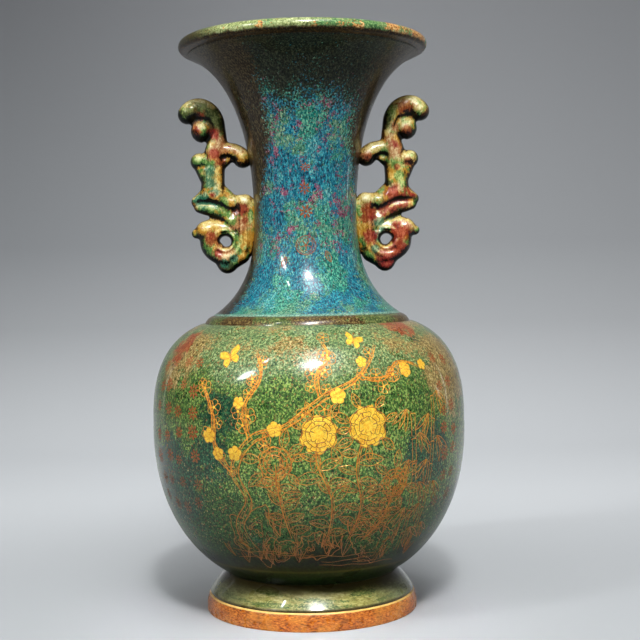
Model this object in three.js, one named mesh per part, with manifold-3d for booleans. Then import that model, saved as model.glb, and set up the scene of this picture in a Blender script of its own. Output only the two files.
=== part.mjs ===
// A stoneware vase with a trumpet mouth, a globular body and two openwork scroll ears.
// It is built as a potter builds one: thrown rings luted together with slip, and moulded ears
// luted to the neck. Millimetres, +Z up, origin at the centre of the resting face.
import * as THREE from "three";
import { mergeVertices } from "three/addons/utils/BufferGeometryUtils.js";
import Module from "manifold-3d";

const wasm = await Module();
wasm.setup();

// Foot: a flared glazed ring, and an unglazed rim under it that stands a little proud
const footRingRadius = 72.2;
const footRingHeight = 15.5;
const footRingWall = 8.5;
const footRingBulgeDepth = 0.6;
const footRingChamfer = 0.9;
const footNeckRadius = 60.5;
const footSeatWidth = 10.5;
const footRimHeight = 12.2;
const footRimLedge = 0.8;
const footRimTaper = 1.4;
const footRimWidth = 9.5;
const footRimRounding = 1.3;

// Body: two thrown bowls joined at the belly
const lowerBodyHeight = 102.5;
const upperBodyHeight = 71;
const bellyRadius = 110;
const shoulderThickness = 6.5;
const shoulderLedge = 3;
const shoulderGroove = 2.2;
const bodyWall = 7;
const baseThickness = 9;
const spigotDepth = 4;
const mitreRise = 4;

// Neck: foot collar, waist and trumpet mouth
const collarRadius = 66;
const collarHeight = 5.7;
const neckFootHeight = 68.2;
const waistRadius = 36.4;
const trumpetHeight = 113.8;
const mouthRadius = 87.5;
const neckWall = 7;

// Lip coil and shoulder coil
const lipWidth = 6.5;
const lipBack = 1.8;
const lipHeight = 8.5;
const lipDrop = 1.4;
const shoulderCoilWidth = 6;
const shoulderCoilHeight = 5.4;
const shoulderCoilBulgeDepth = 0.7;

// Every luted joint holds a film of slip this thick
const slipGap = 0.3;

// Ears: drawn below on a grid that is one hundred squares high
const earHeight = 124.6;
const earDrop = 39.6;
const earThickness = 15;
const earEyeRadius = 4;

// How far each curve's quarter oval runs on past the stretch that is used, and its fullness
const lowerBodyOverrunLength = 13.2;
const upperBodyOverrunLength = 4.3;
const neckFootOverrunLength = 10;
const trumpetOverrunLength = 2.6;
const lowerBodyCurve = { overrun: lowerBodyOverrunLength, power: 2.21 };
const upperBodyCurve = { overrun: upperBodyOverrunLength, power: 2.64 };
const neckFootCurve = { overrun: neckFootOverrunLength, power: 2.42 };
const trumpetCurve = { overrun: trumpetOverrunLength, power: 2.2 };

const turns = 48;
const earSides = 10;
const eyeSides = 12;

// Levels, stacked upwards from the resting face
const ringBottom = footRimHeight + slipGap;
const ringTop = ringBottom + footRingHeight;
const bodySeat = ringTop + slipGap;
const belly = bodySeat + lowerBodyHeight;
const upperBottom = belly + slipGap;
const neckSeat = upperBottom + upperBodyHeight;
const neckBottom = neckSeat + slipGap;
const collarTop = neckBottom + collarHeight;
const waist = collarTop + neckFootHeight;
const trumpetTop = waist + trumpetHeight;
const spigotBottom = bodySeat - spigotDepth;
const floorLevel = spigotBottom + baseThickness;

// Radii that one piece takes from another
const footRimTopRadius = footRingRadius + footRimLedge;
const footRimRadius = footRimTopRadius + footRimTaper;
const spigotRadius = footNeckRadius - footSeatWidth;
const innerBelly = bellyRadius - bodyWall;
const collarBore = collarRadius - neckWall;
const shoulderOpeningRadius = collarBore - shoulderLedge;
const coilBore = collarRadius + slipGap;
const shoulderRadius = coilBore + shoulderCoilWidth + shoulderGroove;
const lipJoint = mouthRadius - lipWidth;

// The quarter of a superellipse: 1 at t = 0, falling to 0 at t = 1.
const quarter = (t, power) => Math.pow(1 - Math.pow(t, power), 1 / power);

// Radius along a curve that leaves (r0, z0) upright and bends over to reach (r1, z1).
function bend(r0, z0, r1, z1, { overrun, power }) {
  const length = Math.abs(z1 - z0);
  const fall = (h) => 1 - quarter(h / (length + overrun), power);
  return (z) => r0 + ((r1 - r0) * fall(Math.abs(z - z0))) / fall(length);
}

// Points from (r0, z0) to (r1, z1) on such a curve, closer together where it bends most.
function bendPoints(r0, z0, r1, z1, curve, steps) {
  const radius = bend(r0, z0, r1, z1, curve);
  const share = (i) => Math.sin(((i / steps) * Math.PI) / 2);
  const levels = Array.from({ length: steps + 1 }, (_, i) => z0 + (z1 - z0) * share(i));
  return levels.map((z) => [radius(z), z]);
}

// Points of an arc of an ellipse about (cr, cz), angles in degrees from the outward direction.
function arcPoints(cr, cz, halfWidth, halfHeight, from, to, steps) {
  return Array.from({ length: steps + 1 }, (_, i) => {
    const angle = THREE.MathUtils.degToRad(from + ((to - from) * i) / steps);
    return [cr + halfWidth * Math.cos(angle), cz + halfHeight * Math.sin(angle)];
  });
}

// A closed ring, or a solid of revolution, from a profile that runs upwards on its outer side.
function revolve(profile) {
  const points = profile.map(([r, z]) => new THREE.Vector2(r, z));
  if (points[0].x > 0) points.push(points[0].clone());
  return new THREE.LatheGeometry(points, turns).rotateX(Math.PI / 2);
}

function toSolid(geometry) {
  const bare = geometry.clone();
  bare.deleteAttribute("normal");
  bare.deleteAttribute("uv");
  const merged = mergeVertices(bare, 1e-3);
  const triVerts = new Uint32Array(merged.index.array);
  const vertProperties = merged.attributes.position.array;
  return new wasm.Manifold(new wasm.Mesh({ numProp: 3, vertProperties, triVerts }));
}

function toGeometry(solid) {
  const { vertProperties, triVerts } = solid.getMesh();
  const geometry = new THREE.BufferGeometry();
  geometry.setAttribute("position", new THREE.BufferAttribute(vertProperties, 3));
  geometry.setIndex(new THREE.BufferAttribute(triVerts, 1));
  return geometry;
}

const reversed = (points) => [...points].reverse();

// Foot

function footRim() {
  const innerRadius = footRimRadius - footRimWidth;
  const r = footRimRounding;
  const topEdge = arcPoints(footRimTopRadius - r, footRimHeight - r, r, r, 0, 90, 2);
  const toe = arcPoints(footRimRadius - r / 2, r / 2, r / 2, r / 2, -90, 0, 2);
  return revolve([[innerRadius, 0], ...toe, ...topEdge, [innerRadius, footRimHeight]]);
}

function footRing() {
  const steps = 4;
  const c = footRingChamfer;
  const flare = Array.from({ length: steps + 1 }, (_, i) => {
    const share = i / steps;
    const straight = THREE.MathUtils.lerp(footRingRadius, footNeckRadius, share);
    const bulge = footRingBulgeDepth * Math.sin(Math.PI * share);
    return [straight + bulge, THREE.MathUtils.lerp(ringBottom + c, ringTop, share)];
  });
  const bore = spigotRadius + slipGap;
  return revolve([
    [footRingRadius - footRingWall, ringBottom],
    [footRingRadius - c, ringBottom],
    ...flare,
    [bore, ringTop],
    [bore, ringTop - spigotDepth],
  ]);
}

// Body

function lowerBody() {
  const outer = bendPoints(bellyRadius, belly, footNeckRadius, bodySeat, lowerBodyCurve, 8);
  const mitreTop = belly + mitreRise;
  const inner = bendPoints(innerBelly, belly, spigotRadius, floorLevel, lowerBodyCurve, 6);
  return revolve([
    [0, spigotBottom],
    [spigotRadius, spigotBottom],
    [spigotRadius, bodySeat],
    ...reversed(outer),
    [innerBelly, mitreTop],
    ...inner,
    [0, floorLevel],
  ]);
}

function upperBody() {
  const outer = bendPoints(bellyRadius, upperBottom, shoulderRadius, neckSeat, upperBodyCurve, 8);
  const innerStart = upperBottom + mitreRise;
  const innerTop = neckSeat - shoulderThickness;
  const innerTopRadius = shoulderRadius - shoulderThickness;
  const inner = bendPoints(innerBelly, innerStart, innerTopRadius, innerTop, upperBodyCurve, 5);
  return revolve([
    ...outer,
    [shoulderOpeningRadius, neckSeat],
    [shoulderOpeningRadius, innerTop],
    ...reversed(inner),
  ]);
}

function shoulderCoil() {
  const steps = 3;
  const slope = Array.from({ length: steps + 1 }, (_, i) => {
    const bulge = shoulderCoilBulgeDepth * Math.sin((Math.PI * i) / steps);
    const out = shoulderCoilWidth * (1 - i / steps) + bulge;
    return [coilBore + out, neckBottom + (shoulderCoilHeight * i) / steps + bulge];
  });
  return revolve([[coilBore, neckBottom], ...slope]);
}

// Neck

function neckOuter() {
  const foot = bendPoints(waistRadius, waist, collarRadius, collarTop, neckFootCurve, 7);
  const trumpet = bendPoints(waistRadius, waist, lipJoint, trumpetTop, trumpetCurve, 8);
  return [[collarRadius, neckBottom], ...reversed(foot), ...trumpet.slice(1)];
}

function neck() {
  const bore = waistRadius - neckWall;
  const trumpetFloor = trumpetTop + neckWall;
  const innerTrumpet = bendPoints(bore, waist, lipJoint, trumpetFloor, trumpetCurve, 7);
  const innerFoot = bendPoints(bore, waist, collarBore, neckBottom, neckFootCurve, 5);
  return revolve([...neckOuter(), ...reversed(innerTrumpet), ...innerFoot.slice(1)]);
}

function lipCoil() {
  const inner = lipJoint + slipGap;
  const crest = inner + lipBack;
  const level = trumpetTop + lipDrop + lipHeight / 2;
  const nose = arcPoints(crest, level, mouthRadius - crest, lipHeight / 2, -90, 90, 6);
  const seatBottom = trumpetTop + lipDrop / 2;
  const seatTop = trumpetTop + neckWall + slipGap;
  return revolve([[inner, seatBottom], ...nose, [inner, seatTop]]);
}

// Ears

// The ears are drawn on a grid: out is counted from the waist of the neck, up from the ear's
// lowest point, and every limb is listed by its stations [out, up, radius] in squares.
const square = earHeight / 100;
const earBottom = waist - earDrop;

// A closed skin over rings of equally many points.
function loft(rings) {
  const sides = rings[0].length;
  const triangles = [];
  for (let a = 0; a < (rings.length - 1) * sides; a++) {
    const b = (a + 1) % sides === 0 ? a + 1 - sides : a + 1;
    triangles.push(a, a + sides, b, b, a + sides, b + sides);
  }
  const positions = rings.flat().flatMap((point) => point.toArray());
  const geometry = new THREE.BufferGeometry();
  geometry.setAttribute("position", new THREE.Float32BufferAttribute(positions, 3));
  return geometry.setIndex(triangles);
}

// A tapering tube with round ends. It is as deep as it is wide, up to the ear's thickness.
function limb(stations, steps) {
  // The radius rides in y, which the flat centreline doesn't use.
  const line = new THREE.CatmullRomCurve3(
    stations.map(([out, up, radius]) => new THREE.Vector3(out, radius, up)),
  );
  const halfDepth = earThickness / 2 / square;
  const ring = ({ share, past, fullness }) => {
    const { x, y: radius, z } = line.getPoint(share);
    const ahead = line.getTangent(share).setY(0).normalize();
    const centre = new THREE.Vector3(x, 0, z).addScaledVector(ahead, past * radius);
    const side = new THREE.Vector3(-ahead.z, 0, ahead.x);
    return Array.from({ length: earSides }, (_, i) => {
      const angle = (2 * Math.PI * i) / earSides;
      const point = centre.clone().addScaledVector(side, radius * fullness * Math.cos(angle));
      return point.setY(Math.min(radius, halfDepth) * fullness * Math.sin(angle));
    });
  };
  const middle = Array.from({ length: steps + 1 }, (_, i) => {
    return { share: i / steps, past: 0, fullness: 1 };
  });
  const sections = [
    { share: 0, past: -1, fullness: 0 },
    { share: 0, past: -0.7, fullness: 0.7 },
    ...middle,
    { share: 1, past: 0.7, fullness: 0.7 },
    { share: 1, past: 1, fullness: 0 },
  ];
  const skin = loft(sections.map(ring));
  return toSolid(skin.scale(square, square, square).translate(waistRadius, 0, earBottom));
}

const stemAndHook = [
  [23, 45.8, 7.1],
  [22.9, 53.4, 6.7],
  [22.4, 61, 6.6],
  [21.4, 68.6, 6.3],
  [20.1, 74.8, 5.7],
  [20.6, 81.3, 5.5],
  [21.9, 86.9, 5.9],
  [25.6, 91.9, 6],
  [31.4, 93.9, 6],
  [36.4, 91, 5.3],
];
const crestLobe = [[21.7, 79.1, 3.8], [25.2, 80.7, 5.2], [28.3, 81.3, 6.7]];
const wingLobe = [[22.4, 63.4, 4.3], [27.2, 64, 4.1], [30.4, 64.2, 4.6]];
const wingWeb = [[29.2, 61.4, 4], [26.6, 54.6, 3.6]];
const upperBracket = [[20.4, 69.4, 5.7], [14.2, 69.8, 5], [9.2, 68.4, 5.2], [5.7, 65.7, 5.4]];
const bracketWeb = [[18.3, 62.5, 3.3], [13.6, 66.8, 3.3]];
const flangeWeb = [[18.6, 48, 3.3], [13.8, 43.4, 3.3]];
const outerFlange = [[24.2, 45.3, 6.7], [29, 42.9, 4.4], [32.1, 41.4, 3.3]];
const innerFlange = [[20.8, 44.3, 6.2], [14.7, 40.5, 5], [9.5, 40.2, 4.8], [4.7, 40.3, 5]];
const wing = [
  [30.3, 38.8, 3.9],
  [27, 38.1, 4.4],
  [21.5, 36.8, 4.7],
  [15.8, 33.4, 4.6],
  [11.6, 28.6, 4.6],
  [9.8, 22, 4],
  [10.4, 15.3, 3.2],
];
const breast = [
  [5.2, 40.1, 4.8],
  [6.3, 30.5, 5.7],
  [6.6, 22.9, 5.7],
  [7.5, 16.2, 5.7],
  [10.5, 11.2, 5.9],
  [15.7, 9.4, 6.1],
  [21, 11, 5.7],
  [24.3, 15.3, 5.3],
  [25.7, 20.5, 5.1],
  [26, 24.8, 5.5],
];
const brow = [[25.1, 26.5, 4.8], [18.8, 26.2, 4.1], [11.6, 25.8, 4]];
const beak = [[27.4, 24.3, 5], [34.6, 22.7, 0.8]];
const keel = [[16, 10, 7.4], [16, 5.6, 5.2], [16.1, 1.8, 1.9]];
const neckSeatPad = [[3.8, 12.9, 3.3], [2.7, 21, 4.3], [2, 30.5, 4.8], [1.9, 38.2, 4.8]];
const eyeCentre = [16.5, 18.5];
const eyeBoss = [[14, 18.5, 5.6], [18.6, 18.5, 5.6]];

// A scroll ear, like a bird with its head down and its tail curled up in lobes.
function ear() {
  const solid = limb(stemAndHook, 11)
    .add(limb(crestLobe, 2))
    .add(limb(wingLobe, 2))
    .add(limb(wingWeb, 1))
    .add(limb(upperBracket, 4))
    .add(limb(bracketWeb, 1))
    .add(limb(flangeWeb, 1))
    .add(limb(outerFlange, 3))
    .add(limb(innerFlange, 4))
    .add(limb(wing, 6))
    .add(limb(breast, 10))
    .add(limb(brow, 2))
    .add(limb(beak, 1))
    .add(limb(keel, 2))
    .add(limb(neckSeatPad, 2))
    .add(limb(eyeBoss, 1));
  const [eyeOut, eyeUp] = eyeCentre;
  const drill = new THREE.CylinderGeometry(earEyeRadius, earEyeRadius, 2 * earThickness, eyeSides);
  drill.translate(waistRadius + eyeOut * square, 0, earBottom + eyeUp * square);
  // The neck, grown by the film of slip, gives both feet of the ear their saddle shape.
  const grown = neckOuter().map(([r, z]) => [r + slipGap, z]);
  const neckSpace = revolve([[0, neckBottom], ...grown, [0, trumpetTop]]);
  return toGeometry(solid.subtract(toSolid(drill)).subtract(toSolid(neckSpace)));
}

// Finishes

const glaze = (color) => new THREE.MeshStandardMaterial({ color, roughness: 0.15, metalness: 0 });
const greenGlaze = glaze(0x4f7f4a);
const blueGlaze = glaze(0x2f7d8c);
const lipGlaze = glaze(0xa8ad5c);
const brownGlaze = glaze(0x5c3d22);
const oliveGlaze = glaze(0x7d8548);
const earGlaze = glaze(0xa9823f);
const bareBody = new THREE.MeshStandardMaterial({ color: 0xa55a22, roughness: 0.75, metalness: 0 });

const vase = new THREE.Group();

function addPiece(name, geometry, material) {
  const mesh = new THREE.Mesh(geometry, material);
  mesh.name = name;
  vase.add(mesh);
  return mesh;
}

addPiece("foot_rim", footRim(), bareBody);
addPiece("foot_ring", footRing(), oliveGlaze);
addPiece("lower_body", lowerBody(), greenGlaze);
addPiece("upper_body", upperBody(), greenGlaze);
addPiece("shoulder_coil", shoulderCoil(), brownGlaze);
addPiece("neck", neck(), blueGlaze);
addPiece("lip_coil", lipCoil(), lipGlaze);
const earGeometry = ear();
addPiece("right_ear", earGeometry, earGlaze);
addPiece("left_ear", earGeometry, earGlaze).rotation.z = Math.PI;

export default vase;
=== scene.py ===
"""Looks for the two-eared stoneware vase: glazes, gilt flower painting, sculpted ears, studio, camera.

Every turned piece takes its outline from its own CAD node and is turned again with a smooth line.
The ears are built of limbs on the CAD ears' own grid, grown together and given their relief.
Sizes in the code are millimetres unless a name says otherwise, and become metres with a mesh.
"""

import math

import bmesh
import bpy
import numpy as np
from mathutils import Matrix, Vector
from mathutils.geometry import delaunay_2d_cdt


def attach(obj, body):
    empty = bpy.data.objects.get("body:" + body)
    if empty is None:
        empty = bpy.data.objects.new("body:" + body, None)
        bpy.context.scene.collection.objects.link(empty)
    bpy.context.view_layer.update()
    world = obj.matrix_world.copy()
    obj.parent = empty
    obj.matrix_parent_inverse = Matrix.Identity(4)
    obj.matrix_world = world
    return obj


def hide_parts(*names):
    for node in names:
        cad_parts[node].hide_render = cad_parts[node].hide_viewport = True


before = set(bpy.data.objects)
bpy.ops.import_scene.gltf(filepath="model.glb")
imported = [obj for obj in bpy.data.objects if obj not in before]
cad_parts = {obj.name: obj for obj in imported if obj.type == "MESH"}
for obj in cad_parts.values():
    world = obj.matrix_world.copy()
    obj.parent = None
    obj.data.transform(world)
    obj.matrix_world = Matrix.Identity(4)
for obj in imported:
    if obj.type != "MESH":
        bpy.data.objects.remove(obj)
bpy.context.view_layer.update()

MM = 0.001
BELLY_RADIUS, BELLY_HEIGHT = 110, 130.8
WAIST_RADIUS, WAIST_HEIGHT = 36.4, 276.3

# Turned pieces: node, material slot, rounding of the edges
TURNED = [
    ("foot_rim", "bare_foot", 0.7),
    ("foot_ring", "olive_glaze", 0.9),
    ("lower_body", "green_glaze", 0.5),
    ("upper_body", "green_glaze", 0.5),
    ("neck", "blue_glaze", 0.9),
    ("shoulder_coil", "brown_glaze", 0.8),
    ("lip_coil", "lip_glaze", 1.0),
]
TURNS = 240
OUTLINE_STEP = 1.4
JOINT_GAP = 0.36
CORNER_ANGLE = math.radians(28)
UPRIGHT_ANGLE = math.radians(4)
LONG_RUN = 20

# Gilding: how deep its root and its edges lie under the glaze
GILT_ROOT = -0.3
GILT_EDGE = -0.06

# Ears
EAR_VOXEL = 0.5
EAR_SQUARE = 1.246
EAR_BOTTOM = 236.7
EAR_HALF_DEPTH = 7.5
EAR_ROOT_DEPTH = 1.3
EAR_SWELLING = 0.8
EAR_SIDES = 28
EYE_CENTRE = (16.5, 18.5)
EYE_RING = (6.0, 2.8)
SMOOTH_BUT_KEEP_SIZE = (0.6, -0.62)


# Outlines of the turned pieces


def section(node):
    """The cut of a turned CAD node through its axis: its (radius, height) points in order."""
    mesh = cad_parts[node].data
    near = 1e-5
    links = {}
    for face in mesh.polygons:
        ring = [mesh.vertices[i].co for i in face.vertices]
        for a, b in zip(ring, ring[1:] + ring[:1]):
            if max(abs(a.y), abs(b.y)) > near or min(a.x, b.x) < -near:
                continue
            p, q = (tuple(round(v / MM, 3) + 0.0 for v in (c.x, c.z)) for c in (a, b))
            if p != q:
                links.setdefault(p, []).append(q)
                links.setdefault(q, []).append(p)
    ends = [p for p in links if len(set(links[p])) == 1]
    path = [ends[0] if ends else next(iter(links))]
    while True:
        ahead = [q for q in links[path[-1]] if q not in path[-2:]]
        if not ahead or ahead[0] == path[0]:
            break
        path.append(ahead[0])
    points = np.array(path)
    r, z = points.T
    if np.sum(r * np.roll(z, -1) - z * np.roll(r, -1)) < 0:
        points = points[::-1]
    return points, not ends


def nearest_on(point, line, closed):
    """The nearest place to a point on a line of points, and how far it is."""
    a = line
    b = np.roll(line, -1, axis=0)
    if not closed:
        a, b = a[:-1], b[:-1]
    along = b - a
    share = np.clip(np.sum((point - a) * along, 1) / np.maximum(np.sum(along**2, 1), 1e-12), 0, 1)
    places = a + share[:, None] * along
    far = np.linalg.norm(places - point, axis=1)
    best = int(np.argmin(far))
    return places[best], far[best]


def units(vectors):
    """The vectors with their lengths made 1."""
    return vectors / np.maximum(np.linalg.norm(vectors, axis=1), 1e-9)[:, None]


def distances(line):
    """How far along a line of points each of them lies."""
    return np.concatenate([[0], np.cumsum(np.linalg.norm(np.diff(line, axis=0), axis=1))])


def directions(points):
    """The direction of a smooth line at each of its points."""
    chords = np.diff(points, axis=0)
    lengths = np.linalg.norm(chords, axis=1)[:, None]
    slopes = chords / lengths
    found = np.zeros_like(points)
    found[1:-1] = (slopes[:-1] * lengths[1:] + slopes[1:] * lengths[:-1]) / (lengths[1:] + lengths[:-1])
    found[0] = 2 * slopes[0] - found[1]
    found[-1] = 2 * slopes[-1] - found[-2]
    for i in (0, -1):
        if abs(found[i][0]) < math.tan(UPRIGHT_ANGLE) * abs(found[i][1]):
            found[i][0] = 0
    return units(found)


def smooth_line(points, step):
    """Closely spaced points on a smooth line through the given ones."""
    points = np.array(points, float)
    if len(points) < 3:
        count = max(1, math.ceil(np.linalg.norm(points[1] - points[0]) / step))
        return points[0] + (points[1] - points[0]) * np.linspace(0, 1, count + 1)[:, None]
    along = directions(points)
    line = [points[:1]]
    for a, b, m, n in zip(points, points[1:], along, along[1:]):
        length = np.linalg.norm(b - a)
        count = max(1, math.ceil(length / step))
        t = (np.arange(1, count + 1) / count)[:, None]
        line.append(
            (2 * t**3 - 3 * t**2 + 1) * a
            + (t**3 - 2 * t**2 + t) * length * m
            + (3 * t**2 - 2 * t**3) * b
            + (t**3 - t**2) * length * n
        )
    return np.concatenate(line)


def trimmed(line, start, end):
    """A line with that much of its length cut off at its two ends."""
    gone = distances(line)
    keep = (gone > start + 1e-6) & (gone < gone[-1] - end - 1e-6)
    cut = [[np.interp(at, gone, line[:, k]) for k in range(2)] for at in (start, gone[-1] - end)]
    return np.concatenate([[cut[0]], line[keep], [cut[1]]])


def rounded_corner(before, corner, after, count=4):
    """The points of a small round between two lines, without its two ends."""
    t = (np.arange(1, count) / count)[:, None]
    return (1 - t) ** 2 * before + 2 * t * (1 - t) * corner + t**2 * after


def turn_angles(points, closed):
    """How much a line of points turns at each of them."""
    before = points - np.roll(points, 1, axis=0)
    after = np.roll(points, -1, axis=0) - points
    cross = before[:, 0] * after[:, 1] - before[:, 1] * after[:, 0]
    angle = np.abs(np.arctan2(cross, np.sum(before * after, 1)))
    if not closed:
        angle[[0, -1]] = math.pi
    return angle


def smooth_outline(points, closed, seated, rounding):
    """The outline with smooth runs between its corners. A corner that sits on another piece stays sharp."""
    corners = np.flatnonzero(turn_angles(points, closed) > CORNER_ANGLE)
    if closed:
        points = np.roll(points, -corners[0], axis=0)
        seated = np.roll(seated, -corners[0])
        corners = corners - corners[0]
        points = np.concatenate([points, points[:1]])
        seated = np.concatenate([seated, seated[:1]])
        corners = np.concatenate([corners, [len(points) - 1]])
    runs = [smooth_line(points[a : b + 1], OUTLINE_STEP) for a, b in zip(corners, corners[1:])]
    lengths = [distances(run)[-1] for run in runs]
    cuts = []
    for i, corner in enumerate(corners):
        beside = [lengths[j % len(runs)] if closed or 0 <= j < len(runs) else 0 for j in (i - 1, i)]
        cuts.append(0 if seated[corner] else min(rounding, 0.4 * min(beside)))
    if closed:
        cuts[-1] = cuts[0]
    line = []
    for i, run in enumerate(runs):
        short = trimmed(run, cuts[i], cuts[i + 1])
        if line and cuts[i] > 0:
            line.append(rounded_corner(line[-1][-1], run[0], short[0]))
        line.append(short if not line or cuts[i] > 0 else short[1:])
    if closed and cuts[0] > 0:
        line.append(rounded_corner(line[-1][-1], runs[0][0], line[0][0]))
    elif closed:
        line[-1] = line[-1][:-1]
    line = np.clip(np.concatenate(line), points.min(0), points.max(0))
    return line, runs


def new_mesh(name, vertices, faces):
    """A mesh object from vertices in millimetres."""
    mesh = bpy.data.meshes.new(name)
    mesh.from_pydata((np.asarray(vertices, float) * MM).tolist(), [], faces)
    mesh.validate()
    piece = bpy.data.objects.new(name, mesh)
    bpy.context.scene.collection.objects.link(piece)
    return piece


def net(rows, columns, closed, start=0):
    """The faces between rows of points that each go round in a ring."""
    faces = []
    for i in range(rows if closed else rows - 1):
        a, b = start + i * columns, start + (i + 1) % rows * columns
        for j in range(columns):
            k = (j + 1) % columns
            faces.append((a + j, a + k, b + k, b + j))
    return faces


def finished(piece, clean, sharp_degrees):
    """A piece cleaned up by one bmesh step and shaded smooth except at its sharp edges."""
    work = bmesh.new()
    work.from_mesh(piece.data)
    clean(work)
    work.to_mesh(piece.data)
    work.free()
    piece.data.shade_smooth()
    piece.data.set_sharp_from_angle(angle=math.radians(sharp_degrees))
    return piece


def turned(name, line, closed):
    """A solid turned round Z from an outline."""
    angles = 2 * math.pi * np.arange(TURNS) / TURNS
    r, z = line[:, 0][:, None], line[:, 1][:, None]
    vertices = np.stack([r * np.cos(angles), r * np.sin(angles), z + 0 * angles], -1).reshape(-1, 3)
    piece = new_mesh(name, vertices, net(len(line), TURNS, closed))
    return finished(piece, lambda work: bmesh.ops.remove_doubles(work, verts=work.verts, dist=1e-7), 40)


# Places on the glazed surface


class Surface:
    """The outside of the turned pieces as a sheet: across is measured round it, up along its outline."""

    def __init__(self, line, radius, height):
        self.at = distances(line)
        self.at -= self.at[int(np.argmin(np.abs(line[:, 1] - height)))]
        self.line = line
        self.radius = radius

    def outline(self, up):
        return np.stack([np.interp(up, self.at, self.line[:, k]) for k in (0, 1)])

    def place(self, across, up, lift):
        """Points in space for places on the sheet, raised from it by lift."""
        r, z = self.outline(up)
        ahead, rise = self.outline(up + 0.5) - self.outline(up - 0.5)
        size = np.hypot(ahead, rise)
        r = r + lift * rise / size
        z = z - lift * ahead / size
        angle = across / self.radius
        return np.stack([r * np.sin(angle), -r * np.cos(angle), z], -1)


def line_sides(path):
    """The direction to the left of a line at each of its points."""
    along = units(np.gradient(path, axis=0))
    return np.stack([-along[:, 1], along[:, 0]], 1)


def inside_polygon(point, polygon):
    x, y = point
    a, b = polygon, np.roll(polygon, -1, axis=0)
    crosses = (a[:, 1] > y) != (b[:, 1] > y)
    with np.errstate(divide="ignore", invalid="ignore"):
        at = (b[:, 0] - a[:, 0]) * (y - a[:, 1]) / (b[:, 1] - a[:, 1]) + a[:, 0]
    return bool(np.sum(crosses & (x < at)) % 2)


class Gilding:
    """Thin raised gilding on a surface, gathered into one mesh."""

    def __init__(self, name, surface):
        self.name = name
        self.surface = surface
        self.vertices = []
        self.faces = []

    def add(self, vertices, faces):
        start = sum(len(v) for v in self.vertices)
        self.vertices.append(vertices)
        self.faces.extend(tuple(start + i for i in face) for face in faces)

    def line(self, points, width, taper=(0.35, 0.35), step=1.6, height=0.13):
        """A brushed line through the points, thinner at its ends."""
        path = smooth_line(points, step)
        if len(path) < 3:
            path = smooth_line([path[0], path.mean(0), path[-1]], step)
        t = np.linspace(0, 1, len(path))
        half = width / 2 * np.minimum(1, np.minimum(taper[0] + t * 5, taper[1] + (1 - t) * 5))
        reach = line_sides(path) * half[:, None]
        corners = [(path + reach, GILT_EDGE), (path, GILT_ROOT), (path - reach, GILT_EDGE), (path, height)]
        n = len(path)
        faces = [(0, 3 * n, 2 * n, n), (n - 1, 2 * n - 1, 3 * n - 1, 4 * n - 1)]
        for k in range(4):
            a, b = k * n, (k + 1) % 4 * n
            faces.extend((a + i, b + i, b + i + 1, a + i + 1) for i in range(n - 1))
        self.add(np.concatenate([self.surface.place(*places.T, lift) for places, lift in corners]), faces)

    def loop(self, points, width):
        """A closed brushed line."""
        self.line(np.concatenate([points, points[:1]]), width, taper=(1, 1))

    def fill(self, points, height=0.08, grid=3.5):
        """A filled shape inside an outline."""
        polygon = np.array(points, float)
        low, high = polygon.min(0), polygon.max(0)
        inside = []
        for a in np.arange(low[0] + grid / 2, high[0], grid):
            for b in np.arange(low[1] + grid / 2, high[1], grid):
                if inside_polygon((a, b), polygon) and nearest_on((a, b), polygon, True)[1] > grid / 3:
                    inside.append(Vector((a, b)))
        rim = [Vector(p) for p in points]
        edges = [(i, (i + 1) % len(rim)) for i in range(len(rim))]
        flat, _, faces, *_ = delaunay_2d_cdt(rim + inside, edges, [], 1, 1e-4)
        across, up = np.array([tuple(v) for v in flat]).T
        n = len(flat)
        used = dict.fromkeys((a, b) for face in faces for a, b in zip(face, list(face[1:]) + [face[0]]))
        made = [tuple(face) for face in faces]
        made += [tuple(i + n for i in reversed(face)) for face in faces]
        made += [(b, a, a + n, b + n) for a, b in used if (b, a) not in used]
        sheets = [self.surface.place(across, up, lift) for lift in (height, GILT_ROOT)]
        self.add(np.concatenate(sheets), made)

    def piece(self):
        piece = new_mesh(self.name, np.concatenate(self.vertices), self.faces)
        return finished(piece, lambda work: bmesh.ops.recalc_face_normals(work, faces=work.faces), 60)


def placed(points, centre, angle, size=1.0):
    """Shape points turned and scaled about their own origin, then moved to centre."""
    c, s = math.cos(angle) * size, math.sin(angle) * size
    x, y = np.asarray(points, float).T
    return np.stack([x * c - y * s, x * s + y * c], 1) + centre


def circle(count, radius=1.0):
    """Points spread evenly round a circle about the origin."""
    a = 2 * math.pi * np.arange(count) / count
    return np.stack([np.cos(a), np.sin(a)], 1) * radius


# Materials


def tint(red, green, blue):
    """A screen colour, 0 to 255, as the linear colour that a node takes."""
    made = []
    for value in (red, green, blue):
        value /= 255
        made.append(value / 12.92 if value <= 0.04045 else ((value + 0.055) / 1.055) ** 2.4)
    return (*made, 1.0)


def set_input(tree, socket, value):
    """Gives an input a plain value or links another node's output to it."""
    if isinstance(value, bpy.types.NodeSocket):
        tree.links.new(value, socket)
    else:
        socket.default_value = value


def add_node(tree, kind, inputs, **settings):
    """Adds a node with its settings and inputs, and returns its outputs."""
    node = tree.nodes.new("ShaderNode" + kind)
    for name, value in settings.items():
        setattr(node, name, value)
    for name, value in inputs.items():
        set_input(tree, node.inputs[name], value)
    return node.outputs


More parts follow.
